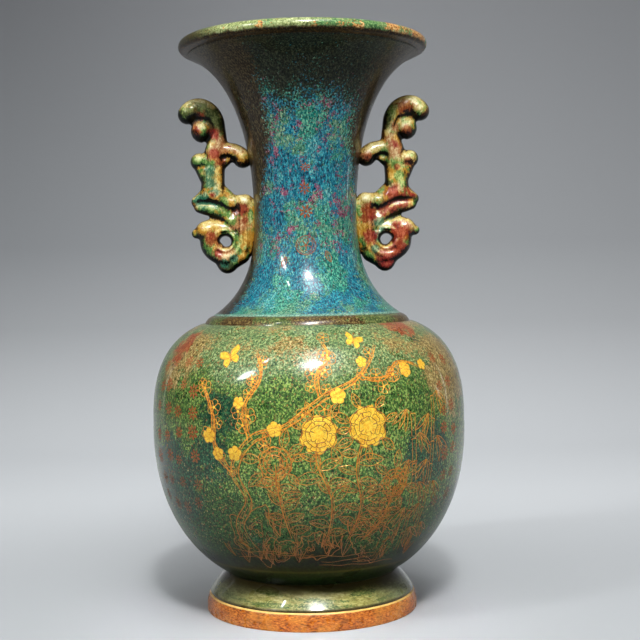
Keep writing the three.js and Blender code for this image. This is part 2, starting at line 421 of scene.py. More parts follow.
class Paint:
    """Builds the nodes of one material. Its methods return sockets."""

    def __init__(self, name):
        self.material = bpy.data.materials.new(name)
        self.material.use_nodes = True
        self.tree = self.material.node_tree
        self.shader = next(n for n in self.tree.nodes if n.type == "BSDF_PRINCIPLED")
        self.place = self.add("TexCoord", {})["Object"]

    def add(self, kind, inputs, **settings):
        return add_node(self.tree, kind, inputs, **settings)

    def noise(self, size, detail=2.0, rough=0.55, stretch=(1, 1, 1), seed=0.0, distort=0.0):
        """Noise from 0 to 1 with features of about that size in millimetres."""
        start = (seed, seed * 1.7, seed * 0.6)
        moved = self.add("Mapping", {"Vector": self.place, "Scale": stretch, "Location": start})
        look = {"Scale": 1 / (size * MM), "Detail": detail, "Roughness": rough, "Distortion": distort}
        return self.add("TexNoise", {"Vector": moved["Vector"], **look})["Fac"]

    def ramp(self, value, *stops):
        """A colour ramp; stops are (place, colour)."""
        node = self.tree.nodes.new("ShaderNodeValToRGB")
        set_input(self.tree, node.inputs["Fac"], value)
        elements = node.color_ramp.elements
        while len(elements) < len(stops):
            elements.new(0.5)
        for element, (place, colour) in zip(elements, stops):
            element.position = place
            element.color = tint(*colour)
        return node.outputs["Color"]

    def steps(self, value, low, high, to_low=0.0, to_high=1.0):
        """A smooth rise from to_low at low to to_high at high."""
        ends = {"From Min": low, "From Max": high, "To Min": to_low, "To Max": to_high}
        return self.add("MapRange", {"Value": value, **ends}, interpolation_type="SMOOTHSTEP")["Result"]

    def clouds(self, size, low, high, most=1.0, detail=4, rough=0.6, stretch=(1, 1, 1), seed=0.0):
        """Soft clouds that rise from 0 to most between two levels of a noise."""
        return self.steps(self.noise(size, detail, rough, stretch, seed), low, high, 0.0, most)

    def maths(self, operation, a, b=0.0, c=0.0):
        return self.add("Math", {0: a, 1: b, 2: c}, operation=operation)["Value"]

    def times(self, a, b):
        return self.maths("MULTIPLY", a, b)

    def plus(self, base, value, share=1.0):
        """The base with a share of the value added."""
        return self.maths("MULTIPLY_ADD", value, share, base)

    def vector(self, operation, a, b):
        return self.add("VectorMath", {0: a, 1: b}, operation=operation)

    def mix(self, amount, a, b):
        """Colour b over colour a; a colour is a socket or 0 to 255 in red, green and blue."""
        a, b = (tint(*colour) if isinstance(colour, tuple) else colour for colour in (a, b))
        return self.add("Mix", {"Factor": amount, 6: a, 7: b}, data_type="RGBA")[2]

    def parts(self, vector):
        return self.add("SeparateXYZ", {"Vector": vector})

    def normal(self):
        return self.add("NewGeometry", {})["Normal"]

    def height(self):
        """The height above the foot, in metres."""
        return self.parts(self.place)["Z"]

    def across(self):
        """How far to the right of the vase's axis a place is, in metres."""
        return self.parts(self.place)["X"]

    def forward(self):
        """How far in front of the vase's axis a place is, in metres."""
        return self.times(self.parts(self.place)["Y"], -1.0)

    def sideways(self):
        """How far round to the two ear sides a place is: 0 in front, 1 under the ears."""
        split = self.parts(self.place)
        x, y = split["X"], split["Y"]
        reach = self.maths("SQRT", self.plus(self.times(y, y), x, x))
        return self.maths("ABSOLUTE", self.maths("DIVIDE", x, reach))

    def inside(self):
        """1 where the surface faces the vase's axis, 0 on its outside."""
        level = self.vector("MULTIPLY", self.place, (1, 1, 0))["Vector"]
        return self.steps(self.vector("DOT_PRODUCT", level, self.normal())["Value"], 0.0, -0.004)

    def attribute(self, name):
        return self.add("Attribute", {}, attribute_name=name)["Fac"]

    def patch(self, centre, radius, ragged=0.5, seed=0.0):
        """1 at a place on the vase, in millimetres, falling to 0 at that radius with a ragged edge."""
        away = self.vector("DISTANCE", self.place, [v * MM for v in centre])["Value"]
        near = self.steps(away, radius * MM, radius * MM * 0.25)
        rough = self.clouds(radius * 0.3, 0.3, 0.7, rough=0.65, seed=seed)
        return self.steps(self.times(near, self.plus(rough, 1 - ragged)), 0.15, 0.75)

    def flecked(self, field, a, b, seed=0.0, size=1.7):
        """Colour b spreading over colour a in flecks as the field rises from 0 to 1."""
        fine = self.noise(size, 2, 0.5, seed=seed, distort=0.3)
        return self.mix(self.steps(self.plus(fine, field, 0.42), 0.63, 0.77), a, b)

    def spots(self, colour, *spots):
        """Spots over a colour, each with its centre, reach, raggedness, seed, tone and fleck seed."""
        for centre, reach, ragged, seed, tone, fleck in spots:
            colour = self.flecked(self.patch(centre, reach, ragged, seed), colour, tone, fleck)
        return colour

    def speckled(self, dark, middle, light, size, stretch=(1, 1, 1), seed=0.0):
        """The fine flecks of a jun glaze: light threads and dark dots on a middle colour."""
        fleck = self.noise(size, 2, 0.6, stretch, seed, 0.5)
        return self.ramp(fleck, (0.36, dark), (0.46, middle), (0.52, middle), (0.63, light))

    def bump(self, height, depth):
        raised = self.add("Bump", {"Distance": depth * MM, "Strength": 1.0, "Height": height})
        set_input(self.tree, self.shader.inputs["Normal"], raised["Normal"])

    def finish(self, colour, roughness, **values):
        for name, value in {"Base_Color": colour, "Roughness": roughness, **values}.items():
            set_input(self.tree, self.shader.inputs[name.replace("_", " ")], value)
        return self.material

    def glaze(self, colour):
        """A thick, slightly uneven glaze: a soft gloss in it and a sharp one on its skin."""
        pits = self.noise(1.5, 2, 0.5, seed=2.3)
        self.bump(self.plus(self.noise(11, 2, 0.5, seed=5.1), pits, 0.1), 0.14)
        facing = self.parts(self.normal())["Z"]
        return self.finish(
            colour,
            self.steps(self.noise(30, seed=8.0), 0.35, 0.7, 0.27, 0.36),
            Coat_Roughness=0.05,
            Coat_Weight=self.steps(facing, -0.7, 0.05, 0.08, 0.55),
            Specular_IOR_Level=self.steps(facing, -0.7, 0.05, 0.06, 0.3),
        )


def green_glaze():
    paint = Paint("green_glaze")
    runs = (1, 1, 0.75)
    light = paint.speckled((24, 56, 26), (92, 121, 73), (172, 188, 132), 1.3, runs, 0.5)
    green = paint.speckled((4, 25, 6), (54, 93, 38), (146, 172, 88), 1.25, runs, 1.0)
    deep = paint.speckled((3, 18, 7), (24, 60, 24), (74, 112, 54), 1.25, runs, 2.0)
    teal = paint.speckled((2, 20, 12), (10, 56, 37), (58, 110, 72), 1.25, runs, 3.0)
    olive = paint.speckled((72, 52, 22), (142, 122, 68), (200, 180, 124), 1.3, runs, 4.0)
    rust = paint.speckled((88, 30, 14), (148, 70, 38), (184, 128, 80), 1.3, runs, 6.0)
    height = paint.height()
    tall = paint.plus(height, paint.noise(60, 4, 0.6, seed=1.4), 0.06)
    # Painted sheen: the glaze turns paler towards the top, where the light from above falls.
    colour = paint.flecked(paint.steps(tall, 0.185, 0.215), green, light, 11.0)
    # Painted shade: deep green low on the body, under the belly.
    colour = paint.flecked(paint.steps(tall, 0.15, 0.09), colour, deep, 12.0)
    colour = paint.flecked(paint.clouds(52, 0.53, 0.7, 0.7, seed=9.0), colour, teal, 13.0)
    colour = paint.spots(
        colour,
        ((-88, -58, 100), 46, 0.5, 3.0, teal, 14.0),
        ((-57, -92, 146), 25, 0.7, 5.0, teal, 14.5),
        ((-64, -88, 118), 26, 0.6, 6.0, teal, 15.5),
        ((78, -76, 118), 34, 0.6, 4.0, teal, 15.0),
    )
    shoulder = paint.times(paint.steps(height, 0.165, 0.195), paint.clouds(44, 0.45, 0.62, 0.8, seed=4.0))
    colour = paint.spots(
        paint.flecked(shoulder, colour, olive, 16.0),
        ((-78, -50, 177), 34, 0.6, 7.0, olive, 17.0),
        ((86, -45, 166), 46, 0.6, 8.0, olive, 18.0),
        ((-80, -42, 185), 21, 0.7, 9.0, rust, 19.0),
        ((60, -52, 200), 20, 0.7, 9.5, rust, 20.0),
    )
    # Painted shade: a near-black band at the very bottom of the body.
    shade_under_body = paint.ramp(paint.noise(2.2, 3, 0.6, seed=21.0), (0.4, (5, 13, 3)), (0.65, (26, 42, 14)))
    colour = paint.mix(paint.steps(tall, 0.094, 0.074), colour, shade_under_body)
    ring = paint.times(paint.steps(height, 0.0388, 0.0398), paint.steps(height, 0.0416, 0.0404))
    return paint.glaze(paint.mix(paint.times(ring, 0.35), colour, (96, 86, 34)))


def blue_glaze():
    paint = Paint("blue_glaze")
    runs = (1, 1, 0.42)
    blue = paint.speckled((0, 34, 54), (2, 100, 126), (70, 172, 180), 1.1, runs, 1.0)
    sky = paint.speckled((0, 66, 84), (32, 138, 146), (146, 204, 190), 1.1, runs, 1.5)
    teal = paint.speckled((0, 50, 48), (22, 126, 112), (126, 196, 158), 1.1, runs, 2.0)
    green = paint.speckled((12, 54, 44), (66, 132, 104), (158, 190, 150), 1.1, runs, 3.0)
    plum = paint.speckled((78, 20, 50), (134, 62, 92), (180, 136, 140), 1.1, runs, 4.0)
    bronze = paint.speckled((9, 14, 9), (32, 38, 28), (68, 74, 54), 1.1, runs, 5.0)
    brown = paint.speckled((19, 15, 8), (50, 40, 25), (94, 82, 56), 1.1, runs, 6.5)
    pale = paint.speckled((50, 92, 78), (104, 150, 134), (180, 206, 176), 1.15, seed=8.0)
    collar = paint.speckled((44, 26, 12), (88, 64, 34), (140, 126, 74), 1.3, seed=8.5)
    height = paint.height()
    specks = paint.clouds(9, 0.5, 0.7, 0.85, rough=0.7, seed=7.0)
    middle = paint.times(paint.steps(height, 0.236, 0.262), specks)
    wander = paint.plus(height, paint.noise(40, 4, 0.6, seed=9.0), 0.05)
    side = paint.plus(paint.sideways(), paint.steps(height, 0.27, 0.34), 0.34)
    side = paint.plus(side, paint.across(), -3.0)
    colour = blue
    for field, tone, seed, size in [
        (paint.clouds(24, 0.45, 0.57, stretch=(1, 1, 0.6), seed=1.0), teal, 11.0, 1.4),
        (paint.clouds(16, 0.5, 0.66, 0.7, stretch=(1, 1, 0.5), seed=3.0), sky, 11.5, 1.3),
        (paint.clouds(18, 0.48, 0.64, 0.75, rough=0.65, seed=6.0), green, 12.0, 1.3),
        (middle, plum, 14.0, 1.2),
        (paint.times(paint.patch((21, -33, 255), 10, 1.0, 2.0), 0.6), plum, 13.0, 1.2),
        (paint.times(paint.patch((26, -27, 284), 20, 1.0, 5.0), 0.7), plum, 13.5, 1.2),
        # Painted shade: dark grey-green up the trumpet, for its underside turned from the light and
        # mirroring the dark room.
        (paint.steps(wander, 0.356, 0.408), bronze, 15.0, 1.4),
        # Painted reflection: dark brown down the two sides of the neck as seen from the front, more on the
        # left.
        (paint.steps(side, 0.82, 1.14), brown, 16.0, 1.4),
    ]:
        colour = paint.flecked(field, colour, tone, seed, size)
    deep = paint.flecked(paint.steps(height, 0.3, 0.37), teal, bronze, 17.0, 1.4)
    colour = paint.mix(paint.inside(), colour, deep)
    # Painted highlight: a pale band along the ridge at the foot of the neck.
    colour = paint.mix(paint.steps(height, 0.2098, 0.2084), colour, pale)
    return paint.glaze(paint.mix(paint.steps(height, 0.2076, 0.207), colour, collar))


def brown_glaze():
    paint = Paint("brown_glaze")
    base = paint.speckled((34, 20, 9), (80, 58, 30), (140, 124, 74), 1.3, seed=1.0)
    green = paint.speckled((22, 40, 20), (70, 90, 46), (146, 150, 92), 1.3, seed=2.0)
    return paint.glaze(paint.flecked(paint.clouds(22, 0.46, 0.64, detail=3, seed=3.0), base, green, 11.0))


def lip_glaze():
    """Yellow-green, dark on the left, more orange on the right, dark brown low on the roll: partly glaze run
    thin off the edge, partly painted shade on its underside.
    """
    paint = Paint("lip_glaze")
    pale = paint.speckled((70, 84, 40), (146, 160, 98), (204, 212, 156), 1.3, seed=1.0)
    green = paint.speckled((22, 60, 34), (78, 124, 70), (150, 184, 118), 1.3, seed=1.5)
    rust = paint.speckled((92, 40, 14), (204, 138, 68), (246, 210, 146), 1.3, seed=2.0)
    dark = paint.speckled((14, 12, 6), (44, 30, 14), (92, 70, 36), 1.3, seed=3.0)
    spread = paint.plus(paint.noise(13, 4, 0.65, seed=4.0), paint.across(), 1.9)
    colour = paint.mix(paint.clouds(22, 0.46, 0.58, detail=3, seed=3.0), pale, green)
    colour = paint.flecked(paint.steps(spread, 0.53, 0.7), colour, rust, 12.0)
    colour = paint.mix(paint.steps(paint.across(), -0.048, -0.076, 0, 0.9), colour, dark)
    # Partly painted shade: dark brown on the lower, downward-facing part of the lip roll.
    low = paint.plus(paint.height(), paint.noise(5, 3, 0.6, seed=6.0), 0.003)
    return paint.glaze(paint.mix(paint.steps(low, 0.3965, 0.3945), colour, dark))


def olive_glaze():
    """Thin yellow-olive glaze with green flecks that run round the foot, with a painted reflection at its
    sides, the body's painted shadow brown across its top and a painted shade line at its bottom edge.
    """
    paint = Paint("olive_glaze")
    level = (0.6, 0.6, 2.2)
    pale = paint.speckled((114, 110, 52), (143, 138, 74), (174, 169, 112), 2.2, level, 1.0)
    green = paint.speckled((44, 66, 22), (86, 104, 44), (138, 144, 80), 1.4, level, 2.0)
    pale_side_reflection = paint.speckled((72, 78, 50), (98, 102, 72), (126, 128, 92), 2.2, level, 3.0)
    bands = paint.clouds(9, 0.44, 0.62, rough=0.65, stretch=(0.35, 0.35, 2.0), seed=3.0)
    colour = paint.flecked(bands, pale, green, 4.0, 1.3)
    # Painted reflection: paler grey-green towards the two sides.
    colour = paint.mix(paint.steps(paint.sideways(), 0.45, 0.85, 0, 0.8), colour, pale_side_reflection)
    # Painted shadow of the body: brown across the top of the ring.
    shade_under_body = paint.plus(paint.height(), paint.noise(12, 3, 0.6, seed=5.0), 0.004)
    colour = paint.mix(paint.steps(shade_under_body, 0.0205, 0.0285), colour, (56, 48, 22))
    # Painted shade: a dark line along the bottom edge, in the groove above the rim.
    edge = paint.steps(paint.height(), 0.0148, 0.0136, 0, 0.85)
    return paint.glaze(paint.mix(edge, colour, (46, 32, 12)))


def bare_foot():
    """Golden brown clay with a fine dark grain, burnished, with a thin pale gold line at its top edge:
    partly the glaze's rolled edge, partly a painted highlight.
    """
    paint = Paint("bare_foot")
    level = (0.6, 0.6, 1.6)
    grain = paint.noise(1.3, 3, 0.65, level, 1.0)
    clay = [(0.34, (74, 30, 8)), (0.45, (158, 80, 24)), (0.56, (190, 108, 38)), (0.7, (216, 146, 68))]
    colour = paint.ramp(grain, *clay)
    colour = paint.mix(paint.clouds(14, 0.45, 0.7, 0.5, detail=3, seed=3.0), colour, (206, 138, 58))
    stain = paint.clouds(6, 0.53, 0.64, 0.6, rough=0.65, stretch=level, seed=2.0)
    colour = paint.mix(stain, colour, (96, 46, 14))
    # A pale gold line along the top edge: partly the rolled glaze edge, partly painted highlight.
    colour = paint.mix(paint.steps(paint.height(), 0.0111, 0.0117), colour, (232, 190, 112))
    paint.bump(paint.noise(1.1, 3, 0.6, seed=4.0), 0.06)
    return paint.finish(colour, paint.steps(paint.noise(6, 3), 0.3, 0.7, 0.24, 0.42))


# Tones of the ear glaze, each as its dark dots, its middle colour and its light threads; the ear glaze also
# lays them from shade to light, so the dark ones double as painted shade and the light ones as painted light
EAR_TONES = {
    "cream": ((118, 78, 22), (222, 196, 112), (250, 242, 190)),
    "ochre": ((72, 38, 8), (196, 138, 44), (238, 208, 118)),
    "tan": ((78, 34, 14), (188, 122, 76), (236, 208, 160)),
    "moss": ((8, 12, 6), (58, 62, 32), (128, 136, 78)),
    "green": ((8, 40, 18), (86, 132, 58), (196, 212, 132)),
    "teal": ((2, 34, 26), (36, 112, 84), (160, 192, 146)),
    "rust": ((52, 14, 6), (142, 56, 26), (204, 132, 76)),
    "red": ((52, 4, 6), (140, 22, 22), (192, 86, 66)),
    # dark: painted shade, partly pooled glaze, for the ears' edges, undersides and hollows
    "dark": ((6, 7, 4), (24, 22, 10), (60, 46, 20)),
}
# Where the tones lie on each ear, later ones over earlier ones: (out, up, reach) on the ear's grid
EAR_PATCHES = {
    "left_ear": {
        "tan": [(16, 74, 7), (8, 71, 5), (32, 84, 4), (8, 27, 7), (17, 12, 7), (20, 70, 5)],
        "ochre": [(6, 64, 5), (20, 53, 4), (3, 20, 6), (27, 27, 7), (21, 27, 4), (13, 64, 4)],
        "cream": [
            (32, 67, 4), (5, 42, 6), (26, 72, 4), (26, 55, 5), (28, 31, 3), (20, 48, 4), (12, 76, 3),
        ],
        "green": [
            (40, 95, 5), (37, 90, 5), (31, 66, 5), (29, 54, 3), (26, 37, 6), (18, 38, 5),
            (31, 20, 3), (27, 11, 4), (11, 22, 3), (30, 78, 3), (12, 30, 3), (27, 73, 3),
        ],
        "moss": [
            (29, 97, 9), (23, 91, 8), (20, 84, 7), (34, 91, 5), (16, 2, 7), (20, 62, 2), (40, 91, 3),
        ],
        "teal": [
            (24, 58, 4), (24, 52, 4), (33, 44, 5), (29, 42, 5), (22, 46, 3), (17, 6, 3), (23, 40, 3),
            (12, 9, 3),
        ],
        "red": [
            (22, 79, 4), (22, 68, 4), (23, 45, 2), (6, 37, 4), (21, 12, 3), (25, 22, 3), (31, 82, 2),
            (13, 73, 2),
        ],
        "rust": [(24, 20, 5), (31, 80, 3), (10, 35, 3), (18, 64, 4), (29, 89, 3), (5, 30, 2)],
    },
    "right_ear": {
        "tan": [(22, 82, 4), (22, 68, 6), (5, 67, 5), (22, 47, 4), (15, 10, 5), (20, 75, 5), (8, 28, 4)],
        "ochre": [(20, 56, 6), (27, 56, 3), (24, 75, 4), (3, 24, 6), (9, 15, 5), (16, 20, 3), (24, 86, 3)],
        "cream": [
            (36, 95, 6), (28, 84, 5), (11, 72, 6), (30, 65, 5), (5, 42, 6), (15, 26, 4), (30, 28, 5),
            (28, 36, 3), (17, 35, 3), (18, 12, 3), (17, 79, 3),
        ],
        "green": [
            (38, 97, 4), (19, 91, 6), (16, 67, 3), (24, 54, 4), (28, 86, 3), (31, 67, 3), (22, 60, 3),
            (13, 38, 3),
        ],
        "moss": [(17, 85, 5), (25, 97, 4), (34, 43, 3), (16, 3, 7), (18, 50, 2)],
        "teal": [(12, 29, 4), (12, 20, 4), (14, 24, 3), (20, 47, 2), (10, 13, 3)],
        "red": [
            (31, 46, 5), (20, 44, 5), (19, 37, 6), (25, 40, 6), (8, 33, 5), (7, 20, 5), (24, 23, 8),
            (22, 14, 8), (18, 7, 8), (22, 72, 3), (14, 34, 4),
        ],
        "rust": [
            (28, 93, 6), (29, 79, 4), (7, 65, 3), (29, 62, 3), (6, 36, 4), (23, 59, 2), (4, 30, 3),
            (24, 96, 3),
        ],
    },
}


def ear_glaze():
    """Painted light and shade over mottled tones: pale where the ridges face the front and up, richer down
    the sides, painted shade along the edges and undersides, and dark in the hollows, partly pooled glaze and
    partly painted shade.
    """
    paint = Paint("ear_glaze")
    normal = paint.parts(paint.normal())
    cavity = paint.attribute("cavity")
    # Painted light and shade: the ramp place rises where the surface faces the front, or out at the sides,
    # and where it faces up, and falls in hollows.
    edge = paint.times(paint.maths("ABSOLUTE", normal["X"]), 0.45)
    front = paint.maths("MAXIMUM", paint.maths("ABSOLUTE", normal["Y"]), edge)
    shade_and_mottle = paint.times(paint.noise(1.3, 3, 0.6, (1, 1, 0.6), 1.0, 0.6), 0.9)
    broad = paint.noise(7, 3, 0.6, (1, 1, 0.6), 4.0, 0.4)
    for value, share in ((front, 0.86), (normal["Z"], 0.34), (cavity, -0.26), (broad, 0.6), (-1.08, 1.0)):
        shade_and_mottle = paint.plus(shade_and_mottle, value, share)
    tones = {}
    for name, (dark, middle, light) in EAR_TONES.items():
        # The darkest stop is painted shade for the edges and undersides; the light stop is partly painted
        # light on the lit faces.
        stops = [(0.06, EAR_TONES["dark"][0]), (0.25, dark), (0.41, middle), (0.49, middle), (0.7, light)]
        tones[name] = paint.ramp(shade_and_mottle, *stops)
    specks = paint.noise(1.6, 3, 0.6, (1, 1, 0.5), 11.0, 0.5)
    rough = paint.plus(paint.noise(4.5, 4, 0.65, (1, 1, 0.45), 12.0, 0.5), specks, 1.1)
    colour = paint.mix(paint.clouds(8, 0.45, 0.55, detail=3, seed=2.6), tones["ochre"], tones["green"])
    for tone in EAR_PATCHES["left_ear"]:
        mask = paint.steps(paint.plus(rough, paint.attribute(tone)), 1.3, 1.8, 0, 0.9)
        colour = paint.mix(mask, colour, tones[tone])
    # Hollows go dark: partly glaze pooled there, partly painted shade.
    sunk = paint.steps(paint.plus(cavity, specks, 0.9), 0.75, 1.4, 0, 0.8)
    colour = paint.mix(sunk, colour, tones["dark"])
    # Painted highlight: cream on faces that turn up and to the front, where the light falls.
    upward = paint.plus(normal["Z"], paint.noise(5, 3, 0.6, seed=13.3), 1.5)
    pale = paint.times(paint.steps(upward, 1.05, 1.4, 0, 0.8), paint.steps(front, 0.15, 0.4))
    return paint.glaze(paint.mix(pale, colour, tones["cream"]))


def gilt(name, bright, dull, bare, cover, seed):
    """Painted gold, rubbed through to the dull ground in places, and darkened low on the body by painted
    shade.
    """
    paint = Paint(name)
    colour = paint.mix(paint.clouds(1.6, 0.4, 0.62, detail=3, seed=seed), bright, dull)
    low = paint.plus(paint.height(), paint.noise(9, 3, 0.6, seed=seed + 9), 0.06)
    # Painted shade: the gold darkens low on the body, under the belly.
    colour = paint.mix(paint.steps(low, 0.185, 0.11, 0, 0.75), colour, bare)
    colour = paint.mix(paint.clouds(2.4, cover, cover + 0.1, rough=0.7, seed=seed + 3), colour, bare)
    paint.bump(paint.noise(0.9, 3, 0.6, seed=seed + 6), 0.08)
    return paint.finish(colour, paint.steps(paint.noise(3, seed=seed), 0.3, 0.7, 0.3, 0.5), Metallic=0.25)


# Ears


def neighbours(mesh):
    """The two ends of every edge, and how many edges meet at each vertex."""
    ends = np.zeros(len(mesh.edges) * 2, np.int64)
    mesh.edges.foreach_get("vertices", ends)
    count = np.bincount(ends, minlength=len(mesh.vertices)).astype(float)
    return ends.reshape(-1, 2), count


def relaxed(points, net_of, rounds, shares=(0.5,)):
    """Points moved towards the middle of their neighbours by each share in turn, round after round."""
    ends, count = net_of
    points = points.copy()
    for share in shares * rounds:
        total = np.zeros_like(points)
        for k in range(3):
            total[:, k] = np.bincount(ends[:, 0], points[ends[:, 1], k], len(points))
            total[:, k] += np.bincount(ends[:, 1], points[ends[:, 0], k], len(points))
        points += share * (total / count[:, None] - points)
    return points


def read_vectors(items, field):
    found = np.zeros(len(items) * 3)
    items.foreach_get(field, found)
    return found.reshape(-1, 3)


def read_points(mesh):
    return read_vectors(mesh.vertices, "co") / MM


def read_normals(mesh):
    return read_vectors(mesh.vertex_normals, "vector")


def write_points(mesh, points):
    mesh.vertices.foreach_set("co", (points * MM).ravel())
    mesh.update()


# Relief on both faces of an ear: depth (less than 0 is a groove), half width, then its line,
# as (out, up) places on the CAD ear's grid of squares. A line of one place is a round swelling.
EAR_RELIEF = [
    (-0.7, 1.9, [(22.6, 48), (22.3, 54), (22.6, 60.5)]),
    (0.4, 1.6, [(18.4, 48), (18.2, 54), (18.4, 60)]),
    (0.4, 1.6, [(26.8, 49), (26.4, 54), (26.2, 58.5)]),
    (-0.5, 1.6, [(21.4, 64), (21.8, 70), (20.8, 76), (22.4, 82.5), (25.6, 87)]),
    (-0.4, 1.2, [(27.2, 68.6), (26, 65), (26.8, 61.4), (29.6, 60.4)]),
    (-0.9, 1.2, [(24.6, 86.6), (22.8, 82.6), (24, 77.8), (27.6, 75.4)]),
    (-0.6, 1.3, [(32.6, 96.6), (31, 92.8), (32.2, 88.8)]),
    (-0.9, 1.3, [(17, 65.6), (13.4, 65.8), (11, 64.4), (10.2, 61.6)]),
    (-0.9, 1.7, [(33, 40.4), (28.6, 40.6), (22.6, 40.2), (17.2, 37.6), (13.4, 33)]),
    (-0.9, 1.2, [(9.8, 45), (8.8, 41), (9.8, 37)]),
    (-0.8, 1.4, [(8.6, 36), (8.9, 30), (9.2, 23.4), (10, 17.6), (12.8, 13.2), (17, 11.9), (21, 13.2)]),
    (-0.6, 1.3, [(4.9, 34), (5.1, 29), (5.4, 22.8), (6.2, 16.6), (9, 11.2), (12.6, 8.4)]),
    (-0.9, 1.4, [(11.8, 23.8), (16.4, 23.4), (20.4, 22.6), (21.6, 19.4)]),
    (1.1, 3.2, [(28.6, 81.2)]),
    (1.0, 2.9, [(30.6, 64.4)]),
    (0.8, 3.2, [(36.2, 91.2)]),
    (1.0, 3.0, [(6.4, 66.2)]),
    (1.0, 3.0, [(5.2, 41)]),
    (0.7, 4.0, [(25, 20.6)]),
]


def grid_places(points):
    """Points of an ear as places on its grid."""
    return np.stack([np.abs(points[:, 0]) - WAIST_RADIUS, points[:, 2] - EAR_BOTTOM], 1) / EAR_SQUARE


def store_field(mesh, name, values):
    mesh.attributes.new(name, "FLOAT", "POINT").data.foreach_set("value", values.astype(np.float32))


def store_tones(mesh, node):
    """How strongly each tone of the ear glaze lies at each point."""
    places = grid_places(read_points(mesh))
    for tone, patches in EAR_PATCHES[node].items():
        near = [np.exp(-np.sum((places - (out, up)) ** 2, 1) / reach**2) for out, up, reach in patches]
        store_field(mesh, tone, np.max(near, axis=0))


def distance_to(places, line):
    """How far each place is from a line of points."""
    best = np.linalg.norm(places - line[0], axis=1)
    for a, b in zip(line, line[1:]):
        along = b - a
        share = np.clip((places - a) @ along / (along @ along), 0, 1)
        best = np.minimum(best, np.linalg.norm(places - a - share[:, None] * along, axis=1))
    return best


def add_relief(points, normals):
    """Grooves and ridges pressed into the two faces of the ear."""
    places = grid_places(points)
    facing = np.clip((np.abs(normals[:, 1]) - 0.15) / 0.5, 0, 1)
    rise = np.zeros(len(points))
    for depth, width, line in EAR_RELIEF:
        path = smooth_line(line, 0.6) if len(line) > 1 else np.array(line, float)
        rise += depth * np.exp(-((distance_to(places, path) / width) ** 2))
    return points + normals * (rise * facing)[:, None]


# The limbs of an ear on the CAD ear's grid, each as its stations (out, up, radius)
EAR_LIMBS = [
    [
        (23, 45.8, 7.1), (22.9, 53.4, 6.7), (22.4, 61, 6.6), (21.4, 68.6, 6.3), (20.1, 74.8, 5.7),
        (20.6, 81.3, 5.5), (21.9, 86.9, 6), (25.6, 91.9, 6.3), (31.4, 93.7, 6.3), (36.5, 91, 5.8),
    ],
    [(21.7, 79.1, 3.8), (25.2, 80.7, 5.2), (28.3, 81.3, 6.7)],
    [(22.4, 63.4, 4.6), (27.2, 63.8, 4.8), (30.5, 64, 5.1)],
    [(29, 61.4, 4.6), (26.4, 54.6, 4.2)],
    [(20.4, 69.4, 5.7), (14.2, 69.8, 5), (9.2, 68.4, 5.2), (5.9, 65.5, 5.5)],
    [(18.3, 62.5, 3.5), (13.6, 66.8, 3.5)],
    [(18.6, 48, 3.5), (13.8, 43.4, 3.5)],
    [(24.2, 45.3, 6.7), (29, 42.9, 4.6), (32.1, 41.4, 3.5)],
    [(20.8, 44.3, 6.2), (14.7, 40.5, 5), (9.5, 40.2, 4.9), (4.7, 40.3, 5.2)],
    [
        (30.3, 38.8, 4), (27, 38.1, 4.4), (21.5, 36.8, 4.7), (15.8, 33.4, 4.6), (11.6, 28.6, 4.6),
        (9.8, 22, 4),
    ],
    [
        (5.2, 40.1, 4.8), (6.3, 30.5, 5.7), (6.6, 22.9, 5.7), (7.3, 16.2, 5.7), (10.4, 12, 5.6),
        (15.7, 10, 5.8), (21, 11.7, 5.4), (24.6, 15.5, 5.7), (25.7, 20.5, 5.5), (25.7, 24.8, 5.8),
    ],
    [(25.1, 26.5, 5), (18.8, 26.2, 4.2), (11.6, 25.8, 4)],
    [(27.4, 24.8, 5.9), (30.4, 24, 4.9), (32.8, 23.4, 2.9)],
    [(7.5, 10.7, 5), (12.3, 7.2, 4.4), (16, 4.1, 3.8), (18.6, 8, 4.2), (22.2, 14.3, 5)],
    [(3.8, 12.9, 3.3), (2.7, 21, 4.3), (2, 30.5, 4.8), (1.9, 38.2, 4.8)],
]


def limb(stations):
    """The rings of a round-ended tube through its stations, as points (out, depth, up)."""
    path = smooth_line(stations, 0.9)
    ahead = units(np.gradient(path[:, :2], axis=0))
    caps = np.radians([0, 25, 50, 70, 84])
    path, ahead = (np.concatenate([v[:1]] * 4 + [v] + [v[-1:]] * 4) for v in (path, ahead))
    middle = np.zeros(len(path) - 8)
    past = np.concatenate([-np.sin(caps[:0:-1]), middle, np.sin(caps[1:])])
    fullness = np.concatenate([np.cos(caps[:0:-1]), middle + 1, np.cos(caps[1:])])
    return tube_rings(path, ahead, past, fullness)


def tube_rings(path, ahead, past, fullness):
    radius = path[:, 2]
    depth = np.minimum(radius, EAR_HALF_DEPTH / EAR_SQUARE) * fullness
    centre = path[:, :2] + ahead * (past * radius)[:, None]
    turn = 2 * math.pi * np.arange(EAR_SIDES) / EAR_SIDES
    reach = (radius * fullness)[:, None] * np.cos(turn)
    out = centre[:, :1] - ahead[:, 1:] * reach
    up = centre[:, 1:] + ahead[:, :1] * reach
    return np.stack([out, depth[:, None] * np.sin(turn), up], -1)


def eye_ring():
    """A round ring about the eye."""
    reach, radius = EYE_RING
    a = np.linspace(0, 2 * math.pi, 41)[:-1]
    out, up = EYE_CENTRE[0] + reach * np.cos(a), EYE_CENTRE[1] + reach * np.sin(a)
    path = np.stack([out, up, 0 * a + radius * 2], 1)
    rings = tube_rings(path, np.stack([-np.sin(a), np.cos(a)], 1), 0 * a, 1 + 0 * a)
    middle = np.stack([path[:, 0], 0 * a, path[:, 1]], -1)[:, None, :]
    return middle + (rings - middle) * [0.5, 1, 0.5]


